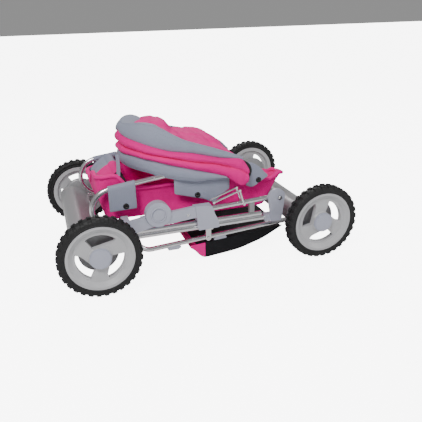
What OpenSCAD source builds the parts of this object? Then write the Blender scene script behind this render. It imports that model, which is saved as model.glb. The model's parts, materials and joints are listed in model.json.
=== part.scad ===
// Folded toy pram with four wheels, a scissor frame, a fabric carrycot, a folding hood and a basket.
// X runs from the foot end (-) to the head end (+), Y from the near side (-) to the far side (+), Z is up.
// The pieces are drawn in the folded position, standing on the floor at Z = 0.

/* [Wheels] */
// Diameter of each tyre
wheel_d = 165; // [140:1:180]
// Width of each tyre
wheel_w = 30; // [24:1:34]
// Distance between the two axles when folded
wheelbase = 477; // [470:1:490]
// Overall width over the tyres
overall_w = 440; // [436:1:452]
// Outer radius of the wheel rim
rim_r = 66; // [60:0.5:68]
// Radius of the round hub cap
cap_r = 21; // [16:0.5:24]
// Radius of the axle rods
axle_r = 4; // [3:0.5:5]

/* [Frame tubes] */
// Outer radius of the leg and seat tubes
tube_r = 5.5; // [4.5:0.1:5.5]
// Wall thickness of the tubes
tube_wall = 1.2; // [0.8:0.1:1.2]
// Distance of the front leg tubes from the middle plane
leg_y = 150; // [149.5:0.5:150.5]
// Distance of the rear leg tubes from the middle plane
rear_y = 137; // [136.5:0.5:137]
// Distance of the carrycot rails from the middle plane
rail_y = 120; // [119:0.5:120]
// Slope of the carrycot rails in degrees
rail_slope = 7; // [6:0.5:7]
// Radius of the round bend at the foot end of each rail
rail_bend = 44; // [42:0.5:45]

/* [Round side joints] */
// Radius of the round joint disc on each side
hub_r = 26; // [22:0.5:26]
// Radius of the button in the middle of the disc
hub_button_r = 11.5; // [8:0.5:13]

/* [Hood] */
// Distance of the hood's front edge from its hinge
hood_reach = 236; // [225:1:240]
// Corner radius of the hood's hoops
hood_corner = 120; // [60:1:124]
// Radius of the hood's wire hoops
hoop_r = 1.15; // [0.8:0.05:1.15]
// Radius of the black hood hinge disc
hinge_disc_r = 24; // [18:0.5:24]

/* [Basket] */
// Half width of the basket
basket_half_w = 144; // [120:1:144]

/* [Hidden] */
$fn = 48;
fit = 0.06;
gap = 0.1;
lap = 0.05;
lap_len = 0.4;
axle_x = wheelbase / 2;
axle_z = wheel_d / 2;
wheel_out = overall_w / 2;
wheel_in = wheel_out - wheel_w;
beam_half = wheel_in - 4;

// Scissor pivot under the middle of the frame
pivot = [0, 54.7];
// Rivet that joins the seat tube to the front leg
seat_rivet = [158.5, 133];
// Round side joint
hub = [-112, 135.5];
// Hood hinge
hood = [84, 190];
// Middle of the rail's bend
bend = [-193.5, 142];
rail_dir = [cos(rail_slope), sin(rail_slope)];
rail_up = [-sin(rail_slope), cos(rail_slope)];
rail_start = bend + rail_bend * rail_up;
rail_low = bend - rail_bend * rail_up;
rail_len = 232;
rail_end = rail_start + rail_len * rail_dir;
leg_z = 87;
seat_tube_start = [-30, 123.5];
wire_r = 2;
wire_pivot = [76, 128.84];
hood_out = 139.5;
hood_in = 136;
guard_at = 30;

c_silver = [0.83, 0.84, 0.86];
c_plastic = [0.71, 0.73, 0.79];
c_grey = [0.58, 0.58, 0.59];
c_rim = [0.74, 0.74, 0.75];
c_tyre = [0.15, 0.15, 0.15];
c_black = [0.07, 0.07, 0.08];
c_pink = [1, 0.2, 0.5];
c_fabric = [0.57, 0.6, 0.66];

// ---- helpers -------------------------------------------------------------

// Draws on the near side as given, and mirrors for the far side.
module on_side(far) {
    if (far) mirror([0, 1, 0]) children();
    else children();
}

module on_both_sides() {
    children();
    mirror([0, 1, 0]) children();
}

// Extrudes an X-Z outline between two distances from the middle plane, on the near side.
module plate(y_in, y_out) {
    translate([0, -y_in, 0]) rotate([90, 0, 0]) linear_extrude(y_out - y_in) children();
}

// Cylinder along Y at an X-Z point, between two distances from the middle plane.
module pin_at(p, y_in, y_out, r) {
    plate(y_in, y_out) translate(p) circle(r);
}

// Rod along Y, centred on the middle plane.
module cross_rod(p, half, r) {
    translate([p.x, 0, p.y]) rotate([90, 0, 0]) cylinder(h = 2 * half, r = r, center = true);
}

// Solid rod between two X-Z points.
module rod(a, b, y, r) {
    d = b - a;
    translate([a.x, -y, a.y]) rotate([0, atan2(d.x, d.y), 0]) cylinder(h = norm(d), r = r);
}

// Hollow tube between two X-Z points.
module tube(a, b, y, r = tube_r, wall = tube_wall) {
    d = b - a;
    translate([a.x, -y, a.y]) rotate([0, atan2(d.x, d.y), 0]) difference() {
        cylinder(h = norm(d), r = r);
        translate([0, 0, -1]) cylinder(h = norm(d) + 2, r = r - wall);
    }
}

// Bent tube in the X-Z plane, from angle a0 through sweep. It is a hair thicker than the straight tubes,
// which run a short way into its ends.
module elbow(centre, y, bend_r, a0, sweep, r = tube_r, wall = tube_wall) {
    translate([centre.x, -y, centre.y]) rotate([90, 0, 0]) rotate([0, 0, a0])
        rotate_extrude(angle = sweep) translate([bend_r, 0]) difference() {
            circle(r + lap);
            circle(r - wall - lap);
        }
}

// ---- wheels --------------------------------------------------------------

module wheel_place(x, far) {
    on_side(far) translate([x, -wheel_in, axle_z]) rotate([90, 0, 0]) children();
}

module tyre() {
    color(c_tyre) rotate_extrude() polygon([
        [rim_r + 0.1, 3], [rim_r + 6, 0.8], [axle_z - 4, 3.2], [axle_z - 0.8, 7.5], [axle_z, 11],
        [axle_z, wheel_w - 11], [axle_z - 0.8, wheel_w - 7.5], [axle_z - 4, wheel_w - 3.2],
        [rim_r + 6, wheel_w - 0.8], [rim_r + 0.1, wheel_w - 3],
    ]);
}

module rim(turned) {
    web_in = 9;
    web_out = 20;
    color(c_rim) difference() {
        rotate_extrude() polygon([
            [axle_r + fit, 2], [16, 2], [18, web_in], [54, web_in], [57, 3], [rim_r, 3],
            [rim_r, wheel_w - 3], [61, wheel_w - 3], [52, web_out], [24, web_out],
            [cap_r + 1, 23], [axle_r + fit, 23],
        ]);
        for (turn = [0, 120, 240]) rotate([0, 0, turn + turned]) linear_extrude(wheel_w)
            intersection() {
                circle(47);
                polygon([[23, 0], [60, 0], [60, -60], [12, -60], [9, -37]]);
            }
    }
}

module cap() {
    color(c_plastic) difference() {
        union() {
            translate([0, 0, 23 + gap]) cylinder(h = 4, r = cap_r);
            translate([0, 0, 27 + gap]) cylinder(h = 1.8, r = cap_r - 1.5);
        }
        cylinder(h = 26.5, r = axle_r + 1);
    }
}

module axle(x) {
    color(c_silver) cross_rod([x, axle_z], wheel_in + 25.5, axle_r);
}

// ---- front leg -----------------------------------------------------------

flare_in = 152;
flange_r = 40;

module beam_section(points) {
    hull() for (p = points) translate([p.x, p.y]) circle(p.z, $fn = 32);
}

module beam(points, x) {
    color(c_grey) difference() {
        union() {
            rotate([90, 0, 0]) linear_extrude(2 * flare_in + 20, center = true) beam_section(points);
            on_both_sides() translate([x, -flare_in, axle_z]) rotate([90, 0, 0])
                cylinder(h = beam_half - 6 - flare_in, r1 = 18, r2 = flange_r);
            on_both_sides() pin_at([x, axle_z], beam_half - 6 - lap, beam_half, flange_r);
        }
        cross_rod([x, axle_z], beam_half + 1, axle_r + fit);
        children();
    }
}

module front_beam() {
    x = -axle_x;
    beam([[x - 29, 99, 22], [x - 31, 86, 20], [x, axle_z, 16]], x)
        on_both_sides() rod([x + 8, leg_z], [x + 40, leg_z], leg_y, tube_r + gap);
}

// Leg tube with a shorter second tube on top of it.
module front_leg_tube() {
    upper = leg_z + 2 * tube_r - lap;
    color(c_silver) {
        tube([-axle_x + 10, leg_z], [136, leg_z], leg_y);
        tube([-158, upper], [120, upper], leg_y);
    }
}

// Bracket that carries the seat rivet above the end of the front leg tube.
module leg_bracket() {
    color(c_plastic) difference() {
        union() {
            plate(157, 163) hull() {
                translate([152, 134.5]) circle(19.5);
                translate([152.5, 87]) square([24, 16], center = true);
            }
            translate([128, -158, leg_z - 8]) cube([24, 15.5, 16]);
        }
        rod([110, leg_z], [136 + gap, leg_z], leg_y, tube_r + gap);
        pin_at(seat_rivet, 150, 170, 2.4 + gap);
    }
}

module seat_rivets() {
    color(c_silver) on_both_sides() {
        pin_at(seat_rivet, 142.5, 163 + gap, 2.4);
        pin_at(seat_rivet, 163 + gap, 165, 5);
        pin_at(seat_rivet, 141.2, 142.6, 4.5);
    }
}

module scissor_plate() {
    color(c_silver) difference() {
        union() {
            translate([-7, -157, leg_z - 7]) cube([14, 14, 10]);
            plate(142.9, 144.9) hull() {
                translate([0, leg_z - 2]) square([12, 8], center = true);
                translate(pivot) circle(6);
            }
        }
        rod([-20, leg_z], [20, leg_z], leg_y, tube_r + gap);
        pin_at(pivot, 130, 160, 2.5 + gap);
    }
}

module scissor_pins() {
    color(c_silver) on_both_sides() {
        pin_at(pivot, rear_y - tube_r - 2, 145, 2.5);
        pin_at(pivot, 145, 146.8, 4);
        pin_at(pivot, rear_y - tube_r - 3.5, rear_y - tube_r - 0.5, 5);
    }
}

// ---- rear leg ------------------------------------------------------------

rear_low = [-124, 47];
rear_in = [204, 47 + 328 * 0.0621];
rear_slope = atan2(rear_in.y - rear_low.y, rear_in.x - rear_low.x);
rear_dir = [cos(rear_slope), sin(rear_slope)];
rear_bend = 30;
rear_bend_c = rear_low + rear_bend * [-sin(rear_slope), cos(rear_slope)];
rear_tip_turn = 68;

function rear_tip(extra) = rear_bend_c
    + rear_bend * [sin(rear_slope - rear_tip_turn), -cos(rear_slope - rear_tip_turn)]
    + extra * [-cos(rear_slope - rear_tip_turn), -sin(rear_slope - rear_tip_turn)];

module rear_beam() {
    x = axle_x;
    beam([[x - 27, 88, 20], [x - 31, 72, 14], [x, axle_z, 16]], x)
        on_both_sides() rod(rear_in - 40 * rear_dir, rear_in + gap * rear_dir, rear_y, tube_r + gap);
}

module rear_leg_tube() {
    color(c_silver) difference() {
        union() {
            tube(rear_low - lap_len * rear_dir, rear_in, rear_y);
            elbow(rear_bend_c, rear_y, rear_bend, 270 + rear_slope - rear_tip_turn, rear_tip_turn);
            tube(rear_tip(-lap_len), rear_tip(18), rear_y);
        }
        pin_at(pivot, 130, 145, 2.5 + fit);
    }
}

module tube_end_caps() {
    color(c_black) on_both_sides() {
        rod(rear_tip(10), rear_tip(18.1), rear_y, tube_r - tube_wall - gap);
        rod(rear_tip(18.1), rear_tip(22), rear_y, tube_r);
    }
}

// Small saddle clips under the rear leg tubes.
module tube_clips() {
    color(c_plastic) on_both_sides() for (x = [-76, 28]) {
        z = rear_low.y + (x - rear_low.x) * tan(rear_slope);
        difference() {
            plate(rear_y - 8, rear_y + 5.2) polygon([
                [x - 15, z - 8], [x - 13, z - 11], [x + 9, z - 11], [x + 15, z - 7],
                [x + 8, z + 1], [x - 8, z],
            ]);
            rod(rear_low, rear_in, rear_y, tube_r + gap);
        }
    }
}

// ---- seat bars -----------------------------------------------------------

// Round joint disc with the arm that runs to the clip block.
module hub_arm() {
    color(c_plastic) difference() {
        union() {
            pin_at(hub, 162, 170, hub_r);
            plate(158, 167) difference() {
                polygon([[hub.x + 14, 134], [-85, 136.5], [-35, 140.6], [-32, 116.7], [-90, 111]]);
                translate(hub) circle(hub_r + 1.2);
            }
            plate(162, 167) polygon([[hub.x, 134], [-80, 136.9], [-80, 112], [hub.x, 111]]);
        }
        pin_at(hub, 150, 175, 5 + gap);
    }
}

module hub_buttons() {
    color(c_plastic) on_both_sides() {
        pin_at(hub, 151.3, 170 + gap, 5);
        pin_at(hub, 170 + gap, 171.8, hub_button_r);
        pin_at(hub, 149.6, 151.4, 8);
    }
}

seat_slope = atan2(seat_rivet.y - seat_tube_start.y, seat_rivet.x - seat_tube_start.x);
seat_dir = [cos(seat_slope), sin(seat_slope)];

module clip_block() {
    color(c_plastic) difference() {
        union() {
            plate(142.6, 157.6) polygon([[-30, 105], [-34, 137], [3, 137], [9, 118], [16, 105]]);
            plate(157.5, 166) polygon([
                [-27, 86], [-34.5, 141], [-4, 139], [4, 134.5], [9, 118], [17.8, 99], [18, 87]
            ]);
        }
        rod(seat_tube_start, seat_rivet, leg_y, tube_r + gap);
    }
}

module seat_tube() {
    color(c_silver) difference() {
        tube(seat_tube_start, seat_rivet + 8 * seat_dir, leg_y);
        pin_at(seat_rivet, 140, 160, 2.4 + fit);
        pin_at(wire_pivot, 140, 160, wire_r + fit);
    }
}

module seat_cross_bar() {
    color(c_silver) cross_rod([-23, 104.5], 142.4, 4);
}

// Short posts that hold the folded leg tubes apart.
module catch_posts() {
    color(c_grey) on_both_sides() difference() {
        translate([92, -155, leg_z + 3 * tube_r + 0.5]) cube([11, 10, 22]);
        rod(seat_tube_start, seat_rivet, leg_y, tube_r + gap);
    }
}

// Wire bail that swings over the clip block and locks the fold.
module latch_wire() {
    knee = [66, 161];
    tip = [8, 142];
    inner = 141.8;
    outer = 161.5;
    color(c_silver) {
        pin_at(wire_pivot, inner, outer, wire_r);
        pin_at(tip, inner, outer, wire_r);
        for (y = [inner, outer]) {
            rod(wire_pivot, knee, y, wire_r);
            rod(knee, tip, y, wire_r);
            for (p = [wire_pivot, knee, tip]) pin_at(p, y - wire_r - 0.1, y + wire_r + 0.1, wire_r + 0.7);
        }
    }
}

// ---- carrycot frame ------------------------------------------------------

module rail() {
    color(c_silver) {
        tube(rail_start - lap_len * rail_dir, rail_end, rail_y);
        elbow(bend, rail_y, rail_bend, 90 + rail_slope, 180);
        tube(rail_low - lap_len * rail_dir, rail_low + 12 * rail_dir, rail_y);
    }
}

// Arm that joins the rail's lower end to the round side joint.
module rail_arm() {
    color(c_plastic) difference() {
        union() {
            plate(158, 167) difference() {
                polygon([
                    [-184, 98], [-184, 122], [-178, 127.5], [-139, 133], [hub.x, 135], [hub.x, 112],
                    [-127, 109.5], [-157, 102.5], [-176, 98],
                ]);
                translate(hub) circle(hub_r + 1);
            }
            plate(151.5, 161.6) translate(hub) circle(hub_r);
            plate(156.2, 161.6) translate([hub.x - 36, hub.y - 20]) square([24, 18]);
            translate([-182, -167, 94]) cube([15, 167 - rail_y + 6, 28]);
        }
        pin_at(hub, 150, 175, 5 + fit);
        rod(rail_low - 5 * rail_dir, rail_low + (12 + gap) * rail_dir, rail_y, tube_r + gap);
    }
}

module foot_cross_bar() {
    color(c_silver) cross_rod([-174, 101], rail_y - 6.2, 4);
}

module guard_bar() {
    p = rail_start + guard_at * rail_dir;
    color(c_black) {
        cross_rod(p, rail_y - 14, 9);
        cross_rod(p, rail_y - 10.2, 5);
    }
}

module guard_clips() {
    p = rail_start + guard_at * rail_dir;
    color(c_black) on_both_sides() difference() {
        rod(p - 7 * rail_dir, p + 7 * rail_dir, rail_y, tube_r + 1.1);
        rod(p - 9 * rail_dir, p + 9 * rail_dir, rail_y, tube_r + gap);
        translate([p.x - 20, -140, p.y - 20]) cube([40, 140 - rail_y - tube_r + 0.5, 40]);
    }
}

handle_rod_r = tube_r - tube_wall - fit;
handle_bend = 20;
handle_reach = rail_len + 8;

module in_rail_plane() {
    translate([rail_start.x, 0, rail_start.y]) rotate([0, -rail_slope, 0]) children();
}

module push_handle_bar() {
    color(c_silver) in_rail_plane() {
        on_both_sides() {
            translate([95, -rail_y, 0]) rotate([0, 90, 0]) cylinder(h = handle_reach - 95, r = handle_rod_r);
            translate([handle_reach, -rail_y + handle_bend, 0]) rotate([0, 0, -90])
                rotate_extrude(angle = 90) translate([handle_bend, 0]) circle(handle_rod_r);
        }
        translate([handle_reach + handle_bend, 0, 0]) rotate([90, 0, 0])
            cylinder(h = 2 * (rail_y - handle_bend), r = handle_rod_r, center = true);
    }
}

module push_handle_grip() {
    color(c_black) in_rail_plane() translate([handle_reach + handle_bend, 0, 0]) rotate([90, 0, 0])
        difference() {
            cylinder(h = 180, r = 10, center = true);
            cylinder(h = 190, r = handle_rod_r + gap, center = true);
        }
}

// ---- hood ----------------------------------------------------------------

hoop_y = [129.4, 131.9, 134.4];
hoop_angle = [12, 16.5, 21];

module hood_hinge_discs() {
    color(c_black) on_both_sides() difference() {
        union() {
            pin_at(hood, rail_y - tube_r, 126, hinge_disc_r);
            plate(125.7, 128) hull() {
                translate(hood) circle(12);
                translate(rail_end - [10, 0]) circle(6);
            }
        }
        pin_at(hood, 100, 150, 3 + gap);
    }
}

module hood_pins() {
    color(c_silver) on_both_sides() {
        pin_at(hood, rail_y - tube_r - 2, 137.5, 3);
        pin_at(hood, 135.9, 138, 6);
        pin_at(hood, rail_y - tube_r - 3, rail_y - tube_r - gap, 6);
    }
}

// U-shaped wire hoop, drawn flat and tilted up about the hinge.
module hood_hoop(i) {
    y = hoop_y[i];
    straight = hood_reach - hood_corner;
    eye_half = hoop_r + lap;
    color(c_silver) translate([hood.x, 0, hood.y]) rotate([0, hoop_angle[i], 0]) {
        on_both_sides() {
            difference() {
                translate([0, -y + eye_half, 0]) rotate([90, 0, 0]) cylinder(h = 2 * eye_half, r = 7);
                translate([0, -y + 5, 0]) rotate([90, 0, 0]) cylinder(h = 10, r = 3 + fit);
            }
            translate([-straight - lap_len, -y, 0]) rotate([0, 90, 0]) cylinder(h = straight - 5, r = hoop_r);
            translate([-straight, -y + hood_corner, 0]) rotate([0, 0, 180])
                rotate_extrude(angle = 90) translate([hood_corner, 0]) circle(hoop_r + lap);
        }
        translate([-hood_reach, 0, 0]) rotate([90, 0, 0])
            cylinder(h = 2 * (y - hood_corner + lap_len), r = hoop_r, center = true);
    }
}

// Plan of the hood's fabric skirt: straight sides and two round corners.
module hood_plan(half, front) {
    r = hood_corner;
    polygon(concat(
        [for (a = [0:10:90]) [front + r - r * cos(a), half - r + r * sin(a)]],
        [[80, half], [80, -half]],
        [for (a = [90:-10:0]) [front + r - r * cos(a), -half + r - r * sin(a)]]
    ));
}

// Skirt of fabric that stands between two sloping lines, open towards the hinge.
module hood_skirt(outline) {
    intersection() {
        on_both_sides() plate(0, 160) polygon(outline);
        linear_extrude(400) difference() {
            hood_plan(hood_out, -157.5);
            translate([1, 0]) hood_plan(hood_in, -155);
        }
    }
}

module hood_front_band() {
    color(c_fabric) hood_skirt([
        [-160, 208], [-160, 236], [-130, 236], [-98, 226], [-37, 213], [11, 199.4], [47, 188],
        [47, 185.5], [0, 184.5], [-25, 187.5], [-58, 201], [-68, 208.5], [-90, 206], [-108, 204], [-130, 211],
    ]);
}

module hood_pleats() {
    color(c_pink) hood_skirt([
        [-160, 237], [-160, 281], [-130, 268], [-102, 260], [-73, 250.5], [-49, 248.5], [-10, 240.5],
        [31, 229], [66, 224.6], [66, 170], [47, 189], [11, 200.4], [-37, 214], [-98, 227], [-130, 237],
    ]);
}

module hood_back_band() {
    color(c_fabric) hood_skirt([
        [-160, 282], [-160, 300], [-125, 308], [-100, 303], [-72, 287], [-33, 269], [17, 252], [61, 235.5],
        [74, 229], [74, 225.6], [66, 225.6], [31, 230], [-10, 241.5], [-49, 249.5], [-73, 251.5],
        [-102, 261], [-130, 269],
    ]);
}

module hood_crown() {
    color(c_pink) on_both_sides() plate(0, 113) polygon([
        [-100, 291], [-60, 290], [0, 266], [58, 242], [62, 235], [0, 255], [-60, 280], [-100, 284],
    ]);
}

// ---- soft parts ----------------------------------------------------------

cot_half = 111;
cot_wall = 9;

// Plan of the carrycot: the head end has caved in except at the near corner.
module cot_plan(inset) {
    e = cot_half - inset;
    translate([0, 0, 50]) linear_extrude(250) polygon([
        [-250, -e], [250, -e], [250, -58 - inset], [166 - inset, -50 - inset], [140 - inset, 20],
        [130 - inset, e], [-250, e],
    ]);
}

module carrycot() {
    color(c_pink) difference() {
        intersection() {
            on_both_sides() plate(0, cot_half) polygon([
                [-220, 113], [-236, 136], [-238, 166], [-150, 179], [60, 180], [184, 175], [197, 168],
                [178, 138], [160, 97], [-6, 97], [-14, 113],
            ]);
            cot_plan(0);
        }
        intersection() {
            on_both_sides() plate(0, cot_half) polygon([
                [-210, 124], [-224, 138], [-226, 200], [187, 200], [187, 174], [167, 138], [153, 107],
                [2, 107], [-8, 124],
            ]);
            cot_plan(cot_wall);
        }
    }
}

module fabric_tabs() {
    color(c_fabric) on_both_sides() {
        plate(126.2, 128) polygon([[-203, 138], [-204, 190], [-162, 195.5], [-146, 197], [-146, 139]]);
        plate(126.2, 128) polygon([
            [-73, 168], [-75, 204], [6, 210], [13, 200], [36, 190], [30, 148], [8, 134], [-30, 138], [-66, 152],
        ]);
        plate(126.2, 128) polygon([[112, 146], [112, 205], [132, 192], [148, 172]]);
    }
}

basket_profile = [[-42, 40], [-10, 7], [72, 13], [128, 28], [180, 56], [176, 60], [60, 46], [-38, 41.5]];

module basket() {
    color(c_black) difference() {
        on_both_sides() plate(0, basket_half_w) polygon(basket_profile);
        on_both_sides() plate(0, basket_half_w - 3) polygon([
            [-32, 70], [-32, 34], [-8, 10], [71, 16], [127, 31], [170, 54], [170, 80],
        ]);
    }
}

// ---- placement -----------------------------------------------------------

axle(-axle_x);  // front_axle
axle(axle_x);  // rear_axle
front_beam();
rear_beam();
for (end = ["front", "rear"]) for (side = ["near", "far"]) {
    x = end == "front" ? -axle_x : axle_x;
    name = str(end, "_", side, "_");
    wheel_place(x, side == "far") tyre();
    wheel_place(x, side == "far") rim(end == "front" ? 3 : -50);
    wheel_place(x, side == "far") cap();
}
for (side = ["near", "far"]) on_side(side == "far") {
    front_leg_tube();
    leg_bracket();
    scissor_plate();
    rear_leg_tube();
    hub_arm();
    clip_block();
    seat_tube();
    latch_wire();
    rail();
    rail_arm();
}
scissor_pins();
seat_rivets();
tube_clips();
tube_end_caps();
hub_buttons();
seat_cross_bar();
catch_posts();
foot_cross_bar();
guard_bar();
guard_clips();
push_handle_bar();
push_handle_grip();
hood_hinge_discs();
hood_pins();
hood_hoop(0);  // hood_hoop_front
hood_hoop(1);  // hood_hoop_middle
hood_hoop(2);  // hood_hoop_back
hood_front_band();
hood_pleats();
hood_back_band();
hood_crown();
carrycot();
fabric_tabs();
basket();
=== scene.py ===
"""Looks of the folded toy pram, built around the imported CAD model.

Lengths in the shape code are millimetres.
"""

import json
import math

import bmesh
import bpy
from mathutils import Matrix, Vector, noise


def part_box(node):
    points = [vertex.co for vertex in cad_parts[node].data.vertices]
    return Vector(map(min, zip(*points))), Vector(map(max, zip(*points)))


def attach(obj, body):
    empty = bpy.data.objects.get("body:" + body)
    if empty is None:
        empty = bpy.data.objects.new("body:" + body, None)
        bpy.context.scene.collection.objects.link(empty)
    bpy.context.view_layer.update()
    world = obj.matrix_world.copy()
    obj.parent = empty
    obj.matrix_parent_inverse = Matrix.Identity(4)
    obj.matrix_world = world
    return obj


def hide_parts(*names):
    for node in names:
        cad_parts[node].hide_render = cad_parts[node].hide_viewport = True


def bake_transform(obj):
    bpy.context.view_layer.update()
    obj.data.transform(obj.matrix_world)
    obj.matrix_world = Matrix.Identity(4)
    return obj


MM = 0.001
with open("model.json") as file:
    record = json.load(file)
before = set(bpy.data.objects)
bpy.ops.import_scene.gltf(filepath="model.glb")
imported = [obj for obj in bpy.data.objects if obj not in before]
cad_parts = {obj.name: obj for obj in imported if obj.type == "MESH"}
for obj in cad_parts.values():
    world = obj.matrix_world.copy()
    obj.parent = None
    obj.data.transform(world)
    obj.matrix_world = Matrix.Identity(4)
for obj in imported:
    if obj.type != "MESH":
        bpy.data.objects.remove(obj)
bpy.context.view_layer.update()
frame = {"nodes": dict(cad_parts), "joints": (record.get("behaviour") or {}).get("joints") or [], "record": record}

# ---- places from the frame -------------------------------------------------


def span(node):
    """Lowest and highest corner of a CAD node, in millimetres."""
    low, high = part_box(node)
    return low / MM, high / MM


def joint_place(name):
    joint = next(j for j in frame["joints"] if j["name"] == name)
    return Vector(joint["pos_m"]) / MM


HINGE = joint_place("hood_open")
HUB = joint_place("chair_tilt")
RIVET = joint_place("seat_level")
RAIL_LOW, RAIL_HIGH = span("rail_near")
RAIL_Y = -(RAIL_LOW.y + RAIL_HIGH.y) / 2
TUBE_R = (RAIL_HIGH.y - RAIL_LOW.y) / 2
RAIL_SLOPE = math.radians(7)
RAIL_END_Z = RAIL_HIGH.z - TUBE_R
COT_Y = span("carrycot")[1].y
HOOD_LOW, HOOD_HIGH = span("hood_back_band")
HOOD_Y = HOOD_HIGH.y
BASKET_Y = span("basket")[1].y


def rail_z(x):
    """Height of the rail's axis at x."""
    return RAIL_END_Z + (x - RAIL_HIGH.x) * math.tan(RAIL_SLOPE)


# ---- small maths -------------------------------------------------------------


def smooth(t):
    t = min(1.0, max(0.0, t))
    return t * t * (3 - 2 * t)


def mix(a, b, t):
    return a + (b - a) * t


def along(points, x):
    """Piecewise straight line through (x, value) points, with its corners rounded a little."""

    def straight(at):
        if at <= points[0][0]:
            return points[0][1]
        for (x0, v0), (x1, v1) in zip(points, points[1:]):
            if at <= x1:
                return mix(v0, v1, (at - x0) / (x1 - x0))
        return points[-1][1]

    reach = 7.0
    return sum(straight(x + reach * k / 2) for k in (-2, -1, 0, 1, 2)) / 5


def ripple(x, y, z, size, seed=0.0):
    """Soft noise between -1 and 1 with features about size millimetres across."""
    return noise.noise(Vector((x / size + seed, y / size - seed, z / size + 2 * seed)))


# ---- materials -----------------------------------------------------------------


def new_material(name):
    material = bpy.data.materials.new(name)
    material.use_nodes = True
    tree = material.node_tree
    return material, tree, tree.nodes["Principled BSDF"]


def add_node(tree, kind, **values):
    node = tree.nodes.new(kind)
    for key, value in values.items():
        if key in node.inputs:
            node.inputs[key].default_value = value
        else:
            setattr(node, key, value)
    return node


def coordinates(tree, output="Object", scale=(1, 1, 1)):
    source = add_node(tree, "ShaderNodeTexCoord")
    mapping = add_node(tree, "ShaderNodeMapping")
    mapping.inputs["Scale"].default_value = scale
    tree.links.new(source.outputs[output], mapping.inputs["Vector"])
    return mapping.outputs["Vector"]


def noise_texture(tree, vector, scale, detail=3.0, rough=0.5):
    texture = add_node(tree, "ShaderNodeTexNoise", Scale=scale, Detail=detail, Roughness=rough)
    tree.links.new(vector, texture.inputs["Vector"])
    return texture.outputs["Fac"]


def remap(tree, value, low, high):
    node = add_node(tree, "ShaderNodeMapRange")
    node.inputs["To Min"].default_value = low
    node.inputs["To Max"].default_value = high
    tree.links.new(value, node.inputs["Value"])
    return node.outputs["Result"]


def blend_colours(tree, factor, first, second):
    node = add_node(tree, "ShaderNodeMix", data_type="RGBA")
    tree.links.new(factor, node.inputs["Factor"])
    colours = [socket for socket in node.inputs if socket.type == "RGBA"]
    colours[0].default_value = (*first, 1)
    colours[1].default_value = (*second, 1)
    return next(socket for socket in node.outputs if socket.type == "RGBA")


def bump(tree, shader, height, strength, distance, below=None):
    node = add_node(tree, "ShaderNodeBump", Strength=strength, Distance=distance)
    tree.links.new(height, node.inputs["Height"])
    if below is not None:
        tree.links.new(below, node.inputs["Normal"])
    tree.links.new(node.outputs["Normal"], shader.inputs["Normal"])
    return node.outputs["Normal"]


def shade(colour, factor):
    return tuple(min(1.0, c * factor) for c in colour)


def plastic(name, colour, rough, grain=0.25, wear=0.06):
    """Moulded plastic: fine grain, slight unevenness of colour and gloss."""
    material, tree, shader = new_material(name)
    place = coordinates(tree)
    cloudy = noise_texture(tree, place, 38, 4)
    fine = noise_texture(tree, place, 2600, 2)
    uneven = blend_colours(tree, cloudy, shade(colour, 1 - wear), shade(colour, 1 + wear))
    tree.links.new(uneven, shader.inputs["Base Color"])
    tree.links.new(remap(tree, cloudy, rough - 0.06, rough + 0.08), shader.inputs["Roughness"])
    bump(tree, shader, fine, grain, 0.0001)
    shader.inputs["Coat Weight"].default_value = 0.15
    shader.inputs["Coat Roughness"].default_value = 0.2
    return material


def bright_tube(name):
    """Polished tube with faint drawing lines and smears."""
    material, tree, shader = new_material(name)
    shader.inputs["Metallic"].default_value = 1.0
    smear = noise_texture(tree, coordinates(tree), 45, 5)
    lines = noise_texture(tree, coordinates(tree, scale=(0.06, 1, 1)), 1800, 2)
    worn = blend_colours(tree, smear, (0.74, 0.75, 0.77), (0.9, 0.9, 0.91))
    tree.links.new(worn, shader.inputs["Base Color"])
    tree.links.new(remap(tree, smear, 0.12, 0.3), shader.inputs["Roughness"])
    bump(tree, shader, lines, 0.12, 0.00005)
    return material


def rubber(name):
    material, tree, shader = new_material(name)
    place = coordinates(tree)
    dust = noise_texture(tree, place, 30, 6, 0.65)
    fine = noise_texture(tree, place, 900, 3)
    dusty = blend_colours(tree, dust, (0.004, 0.004, 0.0045), (0.016, 0.016, 0.017))
    tree.links.new(dusty, shader.inputs["Base Color"])
    tree.links.new(remap(tree, dust, 0.5, 0.78), shader.inputs["Roughness"])
    bump(tree, shader, fine, 0.35, 0.0002)
    return material


def foam(name):
    material, tree, shader = new_material(name)
    place = coordinates(tree)
    cells = add_node(tree, "ShaderNodeTexVoronoi", Scale=900.0)
    tree.links.new(place, cells.inputs["Vector"])
    cloudy = noise_texture(tree, place, 60, 4)
    tree.links.new(
        blend_colours(tree, cloudy, (0.009, 0.009, 0.01), (0.022, 0.022, 0.024)), shader.inputs["Base Color"]
    )
    shader.inputs["Roughness"].default_value = 0.82
    bump(tree, shader, cells.outputs["Distance"], 0.6, 0.0004)
    return material


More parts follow.
